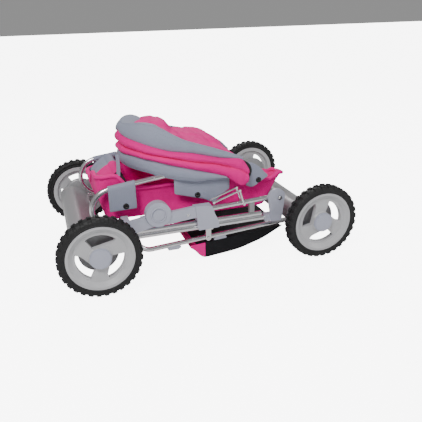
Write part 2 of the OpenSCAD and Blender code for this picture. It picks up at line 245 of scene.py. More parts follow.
def woven(name, colour, thread=0.0007, sheen=0.03, tone=0.12, rough=0.68):
    """Plain-weave cloth. The weave follows the piece's UV map, which is in metres."""
    material, tree, shader = new_material(name)
    flat = coordinates(tree, "UV")
    heights = []
    for axis in ("X", "Y"):
        wave = add_node(tree, "ShaderNodeTexWave", Scale=0.5 / thread / 10, bands_direction=axis)
        wave.inputs["Distortion"].default_value = 1.2
        tree.links.new(flat, wave.inputs["Vector"])
        heights.append(wave.outputs["Fac"])
    weave = add_node(tree, "ShaderNodeMath", operation="MULTIPLY")
    tree.links.new(heights[0], weave.inputs[0])
    tree.links.new(heights[1], weave.inputs[1])
    place = coordinates(tree)
    cloudy = noise_texture(tree, place, 26, 5, 0.6)
    crumple = noise_texture(tree, place, 95, 4, 0.55)
    uneven = blend_colours(tree, cloudy, shade(colour, 1 - tone), shade(colour, 1 + tone))
    tree.links.new(uneven, shader.inputs["Base Color"])
    tree.links.new(remap(tree, crumple, rough - 0.08, rough + 0.1), shader.inputs["Roughness"])
    soft = bump(tree, shader, crumple, 0.35, 0.0016)
    bump(tree, shader, weave.outputs["Value"], 0.55, 0.0002, soft)
    shader.inputs["Specular IOR Level"].default_value = 0.22
    shader.inputs["Sheen Weight"].default_value = sheen
    shader.inputs["Sheen Roughness"].default_value = 0.45
    return material


PINK_COLOUR = (1.0, 0.0, 0.285)
GREY_COLOUR = (0.315, 0.34, 0.435)
PINK = woven("pink_cloth", PINK_COLOUR)
GREY = woven("grey_cloth", GREY_COLOUR, tone=0.08)
MESH = woven("black_mesh_cloth", (0.007, 0.007, 0.009), thread=0.0022, sheen=0.03, tone=0.4)
THREAD = plastic("stitch_thread", (0.17, 0.185, 0.235), 0.7)
TUBE = bright_tube("bright_tube_metal")
RIM = plastic("rim_moulding", (0.53, 0.53, 0.545), 0.33)
LILAC = plastic("lilac_grey_moulding", (0.47, 0.485, 0.585), 0.33)
BEAM = plastic("beam_moulding", (0.3, 0.3, 0.31), 0.32)
BLACK = plastic("black_moulding", (0.005, 0.005, 0.0055), 0.45)
TYRE = rubber("tyre_rubber")
FOAM = foam("black_foam")

SLOT_MATERIALS = {
    "polished_tube": TUBE,
    "rim_plastic": RIM,
    "lilac_grey_plastic": LILAC,
    "beam_plastic": BEAM,
    "black_plastic": BLACK,
    "black_foam": FOAM,
    "tyre_rubber": TYRE,
    "pink_fabric": PINK,
    "grey_fabric": GREY,
    "black_mesh": MESH,
}

# ---- CAD nodes keep their shape and get finer edges and a material ------------


def dress_cad_nodes():
    softened = {"rim_plastic": 1.2, "lilac_grey_plastic": 1.0, "beam_plastic": 0.8, "black_plastic": 0.6}
    for part in frame["record"]["subparts"]:
        piece = frame["nodes"][part["node"]]
        slot = part["material_slot"]
        piece.data.materials.clear()
        piece.data.materials.append(SLOT_MATERIALS[slot])
        if slot in softened:
            edge = piece.modifiers.new("soft_edges", "BEVEL")
            edge.width = softened[slot] * MM
            edge.segments = 3
            edge.limit_method = "ANGLE"
            edge.angle_limit = math.radians(35)
            edge.harden_normals = True
            edge.use_clamp_overlap = True


# ---- mesh helpers --------------------------------------------------------------


def make_piece(name, verts, faces, material, uvs=None, materials=None, face_material=None):
    """A new object from points in millimetres. uvs is one (u, v) pair in millimetres for each point."""
    mesh = bpy.data.meshes.new(name)
    mesh.from_pydata([(x * MM, y * MM, z * MM) for x, y, z in verts], [], faces)
    for each in materials or [material]:
        mesh.materials.append(each)
    if face_material:
        for polygon, index in zip(mesh.polygons, face_material):
            polygon.material_index = index
    if uvs:
        layer = mesh.uv_layers.new(name="cloth")
        for loop in mesh.loops:
            u, v = uvs[loop.vertex_index]
            layer.data[loop.index].uv = (u * MM, v * MM)
    mesh.polygons.foreach_set("use_smooth", [True] * len(mesh.polygons))
    mesh.update()
    piece = bpy.data.objects.new(name, mesh)
    bpy.context.scene.collection.objects.link(piece)
    return piece


def grid(name, rows, material, closed_rows=False, closed_columns=False, caps=False, **extra):
    """A quad sheet through rows of points. closed_rows joins the last row to the first."""
    height, width = len(rows), len(rows[0])
    verts = [p for row in rows for p in row]
    faces = []
    for i in range(height if closed_rows else height - 1):
        for j in range(width if closed_columns else width - 1):
            a, b = i * width + j, i * width + (j + 1) % width
            c, d = ((i + 1) % height) * width + (j + 1) % width, ((i + 1) % height) * width + j
            faces.append((a, b, c, d))
    if caps:
        faces.append(tuple(reversed(range(width))))
        faces.append(tuple((height - 1) * width + j for j in range(width)))
    row_step = (Vector(rows[min(1, height - 1)][width // 2]) - Vector(rows[0][width // 2])).length
    uvs = []
    for i, row in enumerate(rows):
        u = 0.0
        for j, point in enumerate(row):
            if j:
                u += (Vector(point) - Vector(row[j - 1])).length
            uvs.append((u, i * row_step))
    return make_piece(name, verts, faces, material, uvs=uvs, **extra)


def tidy_normals(piece):
    work = bmesh.new()
    work.from_mesh(piece.data)
    bmesh.ops.remove_doubles(work, verts=work.verts, dist=1e-6)
    bmesh.ops.recalc_face_normals(work, faces=work.faces)
    work.to_mesh(piece.data)
    work.free()
    return piece


def thicken(piece, thickness, offset=0.0):
    solid = piece.modifiers.new("cloth_thickness", "SOLIDIFY")
    solid.thickness = thickness * MM
    solid.offset = offset
    solid.use_even_offset = True
    return piece


def subdivide(piece, level=1):
    subsurf = piece.modifiers.new("smooth_surface", "SUBSURF")
    subsurf.levels = level
    subsurf.render_levels = level
    return piece


def sweep(name, path, outline, material, closed=False):
    """Sweeps an outline of (side, up) points along a path in millimetres."""
    path = [Vector(p) for p in path]
    rows = []
    count = len(path)
    for i, point in enumerate(path):
        before = path[(i - 1) % count] if closed or i else path[i]
        after = path[(i + 1) % count] if closed or i < count - 1 else path[i]
        ahead = (after - before).normalized()
        side = ahead.cross(Vector((0, 0, 1))).normalized()
        up = side.cross(ahead).normalized()
        rows.append([tuple(point + side * a + up * b) for a, b in outline])
    return tidy_normals(grid(name, rows, material, closed_rows=closed, closed_columns=True, caps=not closed))


def oval(half_w, half_h, count=10):
    turns = [2 * math.pi * k / count for k in range(count)]
    return [(half_w * math.cos(a), half_h * math.sin(a)) for a in turns]


def lathe(name, centre, profile, material, turns=48):
    """A solid turned about an axis along Y. profile is (radius, y) points."""
    rows = []
    for k in range(turns):
        a = 2 * math.pi * k / turns
        rows.append([
            (centre[0] + r * math.cos(a), centre[1] + y, centre[2] + r * math.sin(a)) for r, y in profile
        ])
    return tidy_normals(grid(name, rows, material, closed_rows=True))


def stitches(name, path, ups, length=3.2, pitch=4.6, thick=0.45):
    """A row of short thread stitches lying on a surface along a path."""
    path = [Vector(p) for p in path]
    verts, faces = [], []
    travelled, nxt = 0.0, pitch / 2
    for i, (a, b) in enumerate(zip(path, path[1:])):
        step = (b - a).length
        if step < 1e-6:
            continue
        ahead = (b - a) / step
        up = Vector(ups[i]).normalized()
        side = ahead.cross(up).normalized()
        while nxt <= travelled + step:
            centre = a + ahead * (nxt - travelled)
            start = len(verts)
            for s, lift in ((-0.5, 0.0), (-0.3, 0.8), (0.3, 0.8), (0.5, 0.0)):
                middle = centre + ahead * (s * length) + up * (thick * lift - 0.1)
                for k in range(5):
                    turn = 2 * math.pi * k / 5
                    round_thread = side * thick * math.cos(turn) + up * thick * math.sin(turn)
                    verts.append(tuple(middle + round_thread))
            for ring in range(3):
                for k in range(5):
                    p = start + ring * 5
                    faces.append((p + k, p + (k + 1) % 5, p + 5 + (k + 1) % 5, p + 5 + k))
            faces.append(tuple(start + k for k in reversed(range(5))))
            faces.append(tuple(start + 15 + k for k in range(5)))
            nxt += pitch
        travelled += step
    return make_piece(name, verts, faces, THREAD)


# ---- tyres ---------------------------------------------------------------------

LUGS = 32
LUG_DEPTH = 2.6


def build_tyre(node, body):
    low, high = span(node)
    centre = (low + high) / 2
    outer = (high.x - low.x) / 2
    width = high.y - low.y
    inner = outer - 16.3
    half = width / 2
    # (radius, distance from the tyre's middle, share of lug depth, lug row)
    profile = [
        (inner, -half + 2.4, 0, 0), (inner + 1.4, -half + 0.8, 0, 0), (inner + 3.2, -half + 0.4, 0, 0),
        (inner + 4.0, -half + 1.1, 0, 0), (inner + 5.2, -half + 1.2, 0, 0), (outer - 6.4, -half + 0.2, 0, 0),
        (outer - 5.6, -half, 0.5, -1), (outer - 1.6, -half + 2.2, 1, -1), (outer - 0.2, -half + 5.0, 1, -1),
        (outer, -4.5, 1, -1), (outer, -2.0, 1, -1), (outer - LUG_DEPTH, -1.5, 0, 0),
    ]
    profile += [(r, -y, share, -row) for r, y, share, row in reversed(profile)]
    pitch = 2 * math.pi / LUGS
    marks = [0.0, 0.05, 0.55, 0.6]
    cuts = sorted({round(m, 4) for m in marks} | {round((m + 0.5) % 1, 4) for m in marks})
    edge = 0.025

    def raised(turn, row):
        t = (turn + (0.5 if row > 0 else 0.0)) % 1
        return 1.0 if 0.05 - edge <= t <= 0.55 + edge else 0.0

    rows = []
    for lug in range(LUGS):
        for cut in cuts:
            angle = (lug + cut) * pitch
            row_points = []
            for r, y, share, row in profile:
                drop = LUG_DEPTH * share * (1 - raised(cut, row)) if row else 0.0
                reach = r - drop
                row_points.append((
                    centre.x + reach * math.cos(angle), centre.y + y, centre.z + reach * math.sin(angle),
                ))
            rows.append(row_points)
    tyre = grid(f"{body}_tread_tyre", rows, TYRE, closed_rows=True, closed_columns=True)
    tidy_normals(tyre)
    crisp = tyre.modifiers.new("crisp_lugs", "EDGE_SPLIT")
    crisp.split_angle = math.radians(38)
    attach(tyre, body)
    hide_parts(node)


# ---- axle beams ----------------------------------------------------------------


def build_beam(node, body, circles):
    """A smooth cover lofted from round end flanges to the rounded beam section. circles are (dx, dz, r)."""
    half = span(node)[1].y
    rod_low, rod_high = span("front_axle" if node == "front_beam" else "rear_axle")
    axis = (rod_low + rod_high) / 2
    flange = 40.0

    def section(angle):
        way = Vector((math.cos(angle), math.sin(angle)))
        best = max(circles, key=lambda c: c[0] * way.x + c[1] * way.y + c[2])
        return Vector((best[0], best[1])) + way * best[2]

    stations = [half - inset for inset in (0, 3, 6, 9, 14, 21, 30, 42, 56, 75)]
    stations += [stations[-1] * k / 6 for k in range(5, 0, -1)]
    stations += [0.0]
    stations += [-s for s in reversed(stations[:-1])]
    count = 72
    rows = []
    for y in stations:
        inwards = half - abs(y)
        t = smooth((inwards - 8) / 46)
        radius = flange * (0.965 if inwards < 1 else 1.0)
        row = []
        for k in range(count):
            a = 2 * math.pi * k / count
            way = Vector((math.cos(a), math.sin(a)))
            ring = way * (radius if inwards <= 8 else mix(flange - 5, 17, smooth((inwards - 8) / 30)))
            flat = mix(ring, section(a), t)
            row.append((axis.x + flat.x, y, axis.z + flat.y))
        rows.append(row)
    beam = grid(f"{node}_cover", rows, BEAM, closed_columns=True, caps=True)
    tidy_normals(beam)
    edge = beam.modifiers.new("soft_edges", "BEVEL")
    edge.width = 1.2 * MM
    edge.segments = 3
    edge.limit_method = "ANGLE"
    edge.angle_limit = math.radians(40)
    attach(beam, body)
    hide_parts(node)


# ---- hood ----------------------------------------------------------------------

# The collapsed hood is a U in plan: from the near hinge, round the foot end and back to the far hinge.
# Each line gives a layer's height against the distance from the hinge along the U.
HOOD_END = HINGE.x - 4.0
HOOD_LEFT = HOOD_LOW.x + 3.0
HOOD_R = 120.0
HOOD_HALF = HOOD_Y - 3.0
HOOD_STRAIGHT = HOOD_END - HOOD_LEFT - HOOD_R
HOOD_HALF_LENGTH = HOOD_STRAIGHT + HOOD_R * math.pi / 2 + HOOD_HALF - HOOD_R
HEM = [(33, 185), (100, 186), (160, 198), (205, 210), (285, 220), (321, 220)]
BAND_TOP = [(-15, 173), (-2, 160), (33, 187), (70, 200), (115, 214), (190, 235), (240, 242), (321, 243)]
FOLD = [(-17, 185), (0, 198), (60, 220), (110, 228), (150, 240), (235, 254), (321, 263)]
PLEAT_TOP = [(-17, 192), (-3, 223), (50, 230), (108, 246), (155, 252), (220, 271), (321, 292)]
RIM_TOP = [(-3, 225), (65, 252), (125, 273), (165, 294), (195, 305), (225, 308), (321, 303)]


def hood_path(start, count=132):
    """Distance from the hinge, plan point and outward way, all round the U from start to its mirror image."""
    out = []
    for k in range(count + 1):
        s = mix(start, 2 * HOOD_HALF_LENGTH - start, k / count)
        side = -1 if s <= HOOD_HALF_LENGTH else 1
        d = min(s, 2 * HOOD_HALF_LENGTH - s)
        arc = (d - HOOD_STRAIGHT) / HOOD_R
        if arc <= 0:
            x, y, nx, ny = HOOD_END - d, HOOD_HALF, 0.0, 1.0
        elif arc <= math.pi / 2:
            x = HOOD_LEFT + HOOD_R - HOOD_R * math.sin(arc)
            y = HOOD_HALF - HOOD_R + HOOD_R * math.cos(arc)
            nx, ny = -math.sin(arc), math.cos(arc)
        else:
            x, y, nx, ny = HOOD_LEFT, HOOD_HALF_LENGTH - d, -1.0, 0.0
        out.append((d, x, side * y, nx, side * ny))
    return out


def droop(x, y):
    """The collapsed hood hangs lower on its far side."""
    far = 5.0 * smooth((y - 30) / 60) * smooth((x + 120) / 50) * smooth((70 - x) / 60)
    return 0.1 * max(0.0, HINGE.x - x) * (0.5 + 0.5 * y / HOOD_HALF) + far


def band_point(spot, f, low, high, look, out=0.0):
    """A point of a hood strip at height share f. look is (bulge, lean, wrinkle, tuck, seed) of the strip."""
    d, x, y, nx, ny = spot
    bulge, lean, wrinkle, tuck, seed = look
    z = mix(along(low, d), along(high, d), f) - droop(x, y)
    near_hinge = smooth((34 - d) / 20)
    push = bulge * math.sin(math.pi * f) ** 0.8
    push -= tuck * (1 - 1.9 * near_hinge) * abs(2 * f - 1) ** 3
    push += lean * f * smooth((d - 110) / 110)
    crease = ripple(x, y, z, 38, seed) * wrinkle + ripple(x, y, z, 13, seed + 5) * wrinkle * 0.4
    push += crease * math.sin(math.pi * min(1, f * 1.2))
    if bulge > 4:
        push -= 3.0 * smooth((d - 190) / 90)
        push += 1.3 * math.sin(d * 0.9 + seed) * smooth((26 - d) / 30) * math.sin(math.pi * f)
    push += out
    return x + nx * push, y + ny * push, z + 0.8 * ripple(x, y, 0, 55, seed + 9)


def hood_layer(name, low, high, start, look, material):
    """One strip of the collapsed hood between two height lines, swelling outwards between its edges."""
    path = hood_path(start)
    rows = [[band_point(spot, i / 9, low, high, look) for spot in path] for i in range(10)]
    piece = grid(name, rows, material)
    thicken(piece, 1.4, -1.0)
    return subdivide(piece)


def hood_edge(name, low, high, start, look, f):
    """Piping rolled along one edge of a hood band."""
    path = [band_point(spot, f, low, high, look) for spot in hood_path(start)]
    return sweep(name, path, oval(1.7, 2.1), GREY)


def hood_stitches(name, low, high, start, look, f):
    path = hood_path(start, 240)
    points = [band_point(spot, f, low, high, look, 0.75) for spot in path]
    return stitches(name, points, [(nx, ny, 0) for _, _, _, nx, ny in path])


def band_turn(width):
    """The back band's top, turned inwards where it goes round the foot end."""
    rows = []
    for i in range(9):
        g = i / 8
        row = []
        for spot in hood_path(110, 110):
            x, y, z = band_point(spot, 1.0, PLEAT_TOP, RIM_TOP, BACK_LOOK, -0.5)
            reach = g * (3 + (width - 3) * smooth((spot[0] - 120) / 90))
            crease = 1.4 * ripple(x, y, g * 20, 22, 12.0) * g
            row.append((x - spot[3] * reach, y - spot[4] * reach, z + 1.2 - 9 * g * g + crease))
        rows.append(row)
    piece = grid("hood_back_band_turn_cloth", rows, GREY)
    thicken(piece, 1.3, 0.0)
    return subdivide(piece)


FRONT_LOOK = (2.2, 0.0, 0.7, 1.2, 1.0)
LOWER_LOOK = (7.0, 0.0, 1.7, 3.0, 2.0)
UPPER_LOOK = (7.5, 0.0, 1.9, 3.0, 3.0)
BACK_LOOK = (3.6, -9.0, 0.9, 1.5, 4.0)


def build_hood():
    front = hood_layer("hood_front_band_cloth", HEM, BAND_TOP, 33, FRONT_LOOK, GREY)
    lower = hood_layer("hood_lower_pleat_cloth", BAND_TOP, FOLD, -15, LOWER_LOOK, PINK)
    upper = hood_layer("hood_upper_pleat_cloth", FOLD, PLEAT_TOP, -15, UPPER_LOOK, PINK)
    back = hood_layer("hood_back_band_cloth", PLEAT_TOP, RIM_TOP, -3, BACK_LOOK, GREY)
    hem = hood_edge("hood_front_band_piping", HEM, BAND_TOP, 34, FRONT_LOOK, 0.0)
    rim = hood_edge("hood_back_band_piping", PLEAT_TOP, RIM_TOP, -1, BACK_LOOK, 1.0)
    hem_thread = hood_stitches("hood_front_band_thread", HEM, BAND_TOP, 60, FRONT_LOOK, 0.22)
    rim_thread = hood_stitches("hood_back_band_thread", PLEAT_TOP, RIM_TOP, 30, BACK_LOOK, 0.8)
    turn = band_turn(34.0)
    for piece in (front, hem, hem_thread):
        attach(piece, "hood_front")
    for piece in (back, turn, rim, rim_thread):
        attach(piece, "hood_back")
    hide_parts("hood_front_band")
    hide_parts("hood_back_band")
    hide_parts("hood_pleats")
    fold_point(BAND_TOP)
    fold_point(FOLD)
    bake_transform(lower)
    fold_point(FOLD)
    fold_point(PLEAT_TOP)
    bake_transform(upper)


def fold_point(line):
    """A point in metres on a layer line."""
    d = 140.0
    return ((HOOD_END - d) * MM, 0.0, along(line, d) * MM)


def hood_plan(x):
    """Half width of the U and distance from the hinge along it, at x."""
    back = HOOD_LEFT + HOOD_R - x
    if back <= 0:
        return HOOD_HALF, HOOD_END - x
    turn = min(1.0, back / HOOD_R)
    return HOOD_HALF - HOOD_R + HOOD_R * math.sqrt(1 - turn * turn), HOOD_STRAIGHT + HOOD_R * math.asin(turn)


CROWN_RIDGE = [(-127, -6), (-98, 2), (-80, 16), (-66, 25), (-50, 28), (-38, 20), (-28, 8), (-8, 12), (16, 15),
               (42, 19), (60, 17), (80, 9)]


def build_crown():
    """The hood's rear panel, a crumpled sheet that spans the U between the back hoop and the head end."""
    columns, row_count = 64, 60
    first, last = HOOD_LEFT + 30, HOOD_END - 4
    rows = []
    for i in range(row_count + 1):
        x = mix(first, last, i / row_count)
        width, d = hood_plan(x)
        edge = along(RIM_TOP, d)
        half = width - 8.0
        row = []
        for j in range(columns + 1):
            y = mix(-half, half, j / columns)
            fade = smooth((half - abs(y)) / 30) * smooth((x - first) / 14)
            side = smooth((y + 50) / 40) * smooth((128 - y) / 30)
            top = along(CROWN_RIDGE, x) * mix(0.45, 1.0, side)
            crumple = 3.6 * ripple(x, y, 0, 32, 7.0) + 1.9 * ripple(x, y, 0, 12, 8.0)
            pleat = -4 * math.exp(-(((x + 36 - 0.25 * y) / 7) ** 2))
            pleat -= 4 * math.exp(-(((x - 34 + 0.2 * y) / 6) ** 2))
            base = edge - droop(x, y) - 7 - 10 * smooth((first + 16 - x) / 16)
            row.append((x, y, base + fade * (top + crumple + pleat)))
        rows.append(row)
    crown = grid("hood_crown_cloth", rows, PINK)
    thicken(crown, 1.2)
    subdivide(crown)
    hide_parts("hood_crown")
    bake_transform(crown)


# ---- carrycot ------------------------------------------------------------------

COT_TOP = [(-240, 166), (-226, 171), (-150, 179), (60, 180), (184, 175), (200, 166)]
COT_CORNER = 24.0
# How far the caved-in head end reaches, across the carrycot.
HEAD_REACH = [(-111, 199), (-88, 199), (-66, 168), (-48, 152), (0, 146), (60, 140), (111, 130)]
HEAD_START = 85.0


def head_end(x, y, right):
    """Draws points near the head end back to where the caved-in end reaches."""
    if x <= HEAD_START:
        return x
    reach = along(HEAD_REACH, y) + right - 199
    return HEAD_START + (x - HEAD_START) * (reach - HEAD_START) / (right - HEAD_START)


def cot_loop(left, right, half, corner, count=120):
    """Rounded rectangle in plan, anticlockwise, with its outward ways."""
    lengths = [right - left - 2 * corner, math.pi / 2 * corner, 2 * (half - corner), math.pi / 2 * corner] * 2
    total = sum(lengths)
    points = []
    for k in range(count):
        d = total * k / count
        side = 0
        while d > lengths[side]:
            d -= lengths[side]
            side += 1
        if side == 0:
            p, n = (left + corner + d, -half), (0, -1)
        elif side == 1:
            a = -math.pi / 2 + d / corner
            p, n = (right - corner + corner * math.cos(a), -half + corner + corner * math.sin(a)), None
        elif side == 2:
            p, n = (right, -half + corner + d), (1, 0)
        elif side == 3:
            a = d / corner
            p, n = (right - corner + corner * math.cos(a), half - corner + corner * math.sin(a)), None
        elif side == 4:
            p, n = (right - corner - d, half), (0, 1)
        elif side == 5:
            a = math.pi / 2 + d / corner
            p, n = (left + corner + corner * math.cos(a), half - corner + corner * math.sin(a)), None
        elif side == 6:
            p, n = (left, half - corner - d), (-1, 0)
        else:
            a = math.pi + d / corner
            p, n = (left + corner + corner * math.cos(a), -half + corner + corner * math.sin(a)), None
        if n is None:
            n = (math.cos(a), math.sin(a))
        points.append((p[0], p[1], n[0], n[1]))
    return points


def cot_ends(f):
    """Left and right end of the carrycot at height share f."""
    left = mix(-210, -225, smooth(f * 1.6))
    right = mix(154, 199, f)
    return left, right


def cot_top(x, y):
    """Height of the carrycot's top edge: pulled up at the near foot corner, slumped near the head end."""
    lift = 38 * smooth((-152 - x) / 34) * smooth((10 - y) / 70)
    slump = 14 * smooth((x - 80) / 30) * smooth((182 - x) / 22)
    return along(COT_TOP, x) + lift - slump


def cot_floor(x):
    return along([(-240, 113), (-16, 113), (-2, 98), (200, 98)], x)


def build_carrycot():
    levels = 14
    rows = []
    for i in range(levels + 1):
        f = i / levels
        left, right = cot_ends(f)
        row = []
        for x, y, nx, ny in cot_loop(left, right, COT_Y, COT_CORNER):
            z = mix(cot_floor(x), cot_top(x, y), f)
            swell = -3.2 * math.sin(math.pi * f)
            fold = 2.6 * ripple(x, y, z * 0.6, 46, 3.0) + 1.4 * ripple(x * 0.6, y * 0.6, z, 17, 4.0)
            push = swell + fold * math.sin(math.pi * min(1.0, f + 0.12)) - (2.5 if i == 0 else 0)
            push = min(push, 0.0)
            row.append((head_end(x, y, right) + nx * push, y + ny * push, z))
        rows.append(row)
    floor_rows = []
    for share in (0.12, 0.4, 0.75):
        left, right = cot_ends(0.0)
        row = []
        for x, y, _, _ in cot_loop(left, right, COT_Y, COT_CORNER):
            px = mix(head_end(x, y, right), (left + right) / 2, share)
            row.append((px, mix(y, 0, share), cot_floor(px) + 1.5))
        floor_rows.append(row)
    shell = list(reversed(floor_rows)) + rows
    piece = grid("carrycot_outer_cloth", shell, PINK, closed_columns=True)
    fill_end(piece, len(rows[0]))
    thicken(piece, 1.6, -1.0)
    subdivide(piece)
    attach(piece, "chair_frame")
    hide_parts("carrycot")
    binding = build_cot_binding()
    build_cot_lining()


def fill_end(piece, count):
    """Closes the ring made by the mesh's first count points."""
    work = bmesh.new()
    work.from_mesh(piece.data)
    work.verts.ensure_lookup_table()
    work.faces.new([work.verts[k] for k in range(count)])
    bmesh.ops.recalc_face_normals(work, faces=work.faces)
    work.to_mesh(piece.data)
    work.free()


def build_cot_lining():
    """Padded inside of the carrycot: walls and a quilted floor."""
    rows = []
    wall = 7.0
    for share in (0.8, 0.62, 0.45, 0.3, 0.17, 0.07):
        left, right = cot_ends(0.15)
        row = []
        for x, y, _, _ in cot_loop(left + wall, right - wall, COT_Y - wall, COT_CORNER - 6):
            px, py = mix(head_end(x, y, right), (left + right) / 2, share), mix(y, 0, share)
            quilt = 2.4 * abs(math.sin(math.pi * px / 46)) * abs(math.sin(math.pi * (py + 23) / 46))
            row.append((px, py, cot_floor(px) + 11 + quilt))
        rows.append(row)
    levels = 9
    for i in range(levels + 1):
        f = i / levels
        left, right = cot_ends(mix(0.15, 1.0, f))
        row = []
        for x, y, nx, ny in cot_loop(left + wall, right - wall, COT_Y - wall, COT_CORNER - 6):
            z = mix(cot_floor(x) + 11, cot_top(x, y) - 0.5, f)
            push = 1.6 * ripple(x, y, z, 40, 6.0) + (4.0 * (f - 1) if f < 1 else 0) * 0.4
            row.append((head_end(x, y, right) + nx * push, y + ny * push, z))
        rows.append(row)
    tones = [1 if point[0] < -192 else 0 for point in rows[-1]] * (len(rows) - 1)
    piece = grid(
        "carrycot_lining_cloth", rows, PINK, closed_columns=True, materials=[PINK, GREY], face_material=tones
    )
    fill_end(piece, len(rows[0]))
    subdivide(piece)
    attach(piece, "chair_frame")


def build_cot_binding():
    """Tape folded over the carrycot's top edge."""
    left, right = cot_ends(1.0)
    loop = cot_loop(left + 3, right - 3, COT_Y - 3, COT_CORNER - 3)
    path = []
    for x, y, _, _ in loop:
        px = head_end(x, y, right)
        path.append((px, y, cot_top(px, y) - 2.5 + 0.7 * ripple(x, y, 0, 30, 2.0)))
    tape = [(-4.6, -3.5), (-4.8, 0), (-3.8, 2.4), (-1.5, 3.4), (1.5, 3.4), (3.8, 2.4), (4.8, 0), (4.6, -3.5)]
    piece = sweep("carrycot_edge_tape", path, tape, PINK, closed=True)
    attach(piece, "chair_frame")
    return piece


# ---- tabs and press studs ----------------------------------------------------------


def flap(name, x0, x1, top, bottom, side, y_face, over_rail=True, seed=0.0):
    """A grey flap outside the rail. top and bottom are height lines over x; top is unused over a rail."""
    columns = 18
    places = [mix(x0, x1, k / columns) for k in range(columns + 1)]
    rows = []
    turn_r = TUBE_R + 1.0
    if over_rail:
        for k in range(9):
            a = math.pi * (-0.12 + 1.12 * k / 8)
            row = []
            for x in places:
                y = RAIL_Y - turn_r * math.cos(a)
                z = rail_z(x) + turn_r * math.sin(a)
                row.append((x, side * y, z))
            rows.append(row)
    steps = 12
    for k in range(1, steps + 1):
        f = k / steps
        row = []
        for x in places:
            start = rail_z(x) - 1 if over_rail else along(top, x)
            z = mix(start, along(bottom, x), f)
            wave = 0.5 * ripple(x, 0, z, 30, seed) * f
            y = y_face + 0.5 * smooth(f) + wave
            row.append((x, side * y, z))
        rows.append(row)
    piece = grid(name, rows, GREY)
    thicken(piece, 1.3, 0.0)
    return subdivide(piece)


def stud(name, x, z, side, y_face, body):
    """Black press stud: a low dome with a rim and a dimple, seated on the flap."""
    out = -1 if side < 0 else 1
    profile = [(0.0, 0.6), (1.6, 0.6), (2.4, 1.9), (4.4, 2.1), (5.9, 1.3), (6.3, 0.4), (6.3, -0.6)]
    profile.append((0.0, -0.6))
    piece = lathe(name, (x, side * y_face, z), [(r, out * h) for r, h in profile], BLACK)
    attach(piece, body)


TAB_FACE = RAIL_Y + TUBE_R + 1.1
FOOT_TAB_LOW = [(-197, 139), (-146, 140)]
SIDE_TAB_LOW = [(-74, 162), (-60, 157), (-20, 145), (1, 139), (20, 126), (38, 146), (60, 158)]
HEAD_TAB_TOP = [(94, 216), (112, 212), (132, 195), (146, 174)]
HEAD_TAB_LOW = [(94, 158), (101, 155), (108, 148), (128, 160), (146, 172)]


def build_tabs():
    for side, label in ((-1, "near"), (1, "far")):
        foot = flap(f"foot_tab_{label}_cloth", -203, -147, None, FOOT_TAB_LOW, side, TAB_FACE, seed=1.0)
        middle = flap(f"side_tab_{label}_cloth", -67, 56, None, SIDE_TAB_LOW, side, TAB_FACE, seed=2.0)
        head = flap(
            f"head_tab_{label}_cloth", 95, 147, HEAD_TAB_TOP, HEAD_TAB_LOW, side, TAB_FACE - 3.0,
            over_rail=False, seed=3.0,
        )
        for piece, cut in ((foot, (0.057, 0.075)), (middle, (0.123, 0.085)), (head, (0.053, 0.05))):
            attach(piece, "chair_frame")
        if side < 0:
            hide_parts("fabric_tabs")
        for tag, x, z in (("foot", -169.5, 147.5), ("side", -16.5, 151.5), ("head", 125, 166)):
            face = TAB_FACE - 2.0 if tag == "head" else TAB_FACE + 1.0
            stud(f"{tag}_stud_{label}", x, z, side, face, "chair_frame")


def build_strap():
    """Grey tape that hangs from the front band down to the carrycot at the near foot corner."""
    rows = []
    for k in range(15):
        f = k / 14
        x, y, z = mix(-171.5, -173.0, f), mix(-72, -84, f), mix(243, 181, f)
        half = 3.6 + 0.9 * f
        sway = 1.2 * math.sin(5 * f)
        rows.append([
            (x + half * (j / 2 - 1) + sway, y + 0.5 * sway - 0.8 * (j - 2) ** 2 * 0.3, z) for j in range(5)
        ])
    strap = grid("foot_strap_cloth", rows, GREY)
    thicken(strap, 1.2, 0.0)
    subdivide(strap)
    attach(strap, "chair_frame")


def build_bar_drape():
    """Carrycot cloth folded over the guard bar: grey lining at the far end, pink towards the middle."""
    low, high = span("guard_bar")
    centre, radius = (low + high) / 2, (high.z - low.z) / 2 + 1.6
    stations = [mix(-52.0, high.y - 3, k / 40) for k in range(41)]
    rows = []
    for y in stations:
        row = []
        for k in range(12):
            turn = math.radians(mix(-35, 165, k / 11))
            row.append((centre.x + radius * math.cos(turn), y, centre.z + radius * math.sin(turn)))
        share = smooth((y + 52) / 40)
        for k in range(1, 15):
            f = k / 14
            reach = mix(10, 34, share) * f
            wave = 2.2 * math.sin(y / 9.0) * f
            fall = 26 * f ** 1.3 - 2.0 * ripple(y, f * 30, 0, 16, 3.0) * f
            row.append((centre.x - radius - reach + wave, y, centre.z + 3 - fall))
        rows.append(row)
    tones = []
    for y in stations[:-1]:
        tones += [1 if y > 34 else 0] * 25
    drape = grid("guard_drape_cloth", rows, PINK, materials=[PINK, GREY], face_material=tones)
    thicken(drape, 1.2, 0.0)
    subdivide(drape)
    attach(drape, "chair_frame")


# ---- rivets and rings ---------------------------------------------------------------


def rivet(name, x, z, y_face, radius, body, height=1.5):
    """A domed rivet head on each outer side, y_face out from the middle."""
    for side, label in ((-1, "near"), (1, "far")):
        dome = [(0.0, height), (radius * 0.45, height * 0.93), (radius * 0.8, height * 0.62)]
        profile = dome + [(radius, 0.0), (radius, -0.6), (0.0, -0.6)]
        piece = lathe(f"{name}_{label}", (x, side * y_face, z), [(r, side * h) for r, h in profile], TUBE)
        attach(piece, body)


